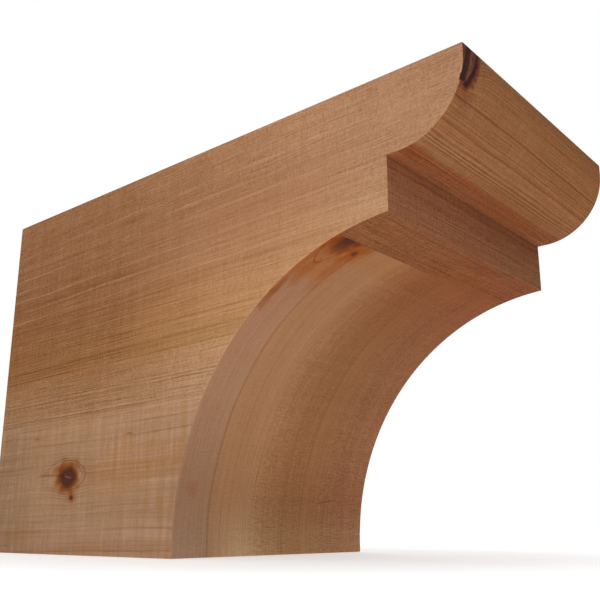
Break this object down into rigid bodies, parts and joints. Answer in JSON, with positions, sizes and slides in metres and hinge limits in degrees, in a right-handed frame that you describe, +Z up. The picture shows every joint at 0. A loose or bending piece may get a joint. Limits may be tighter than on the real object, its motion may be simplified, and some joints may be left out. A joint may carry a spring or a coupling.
{
  "type": "rafter tail",
  "caption": "Sawn cedar rafter tail: a square timber cut flat at the back, its front shaped to a quarter-round nose, a square step and a deep cove.",
  "frame": {"origin": "centre of the flat back end, where the tail meets the building or the rafter behind it", "axes": "+Z up, square to the top face; +Y towards the building, so the nose points along -Y; +X across the timber"},
  "size_m": [0.1396, 0.3048, 0.1906],
  "materials": {
    "cedar": "matte"
  },
  "bodies": {
    "root": {"rafter_tail": "cedar"}
  },
  "joints": []
}
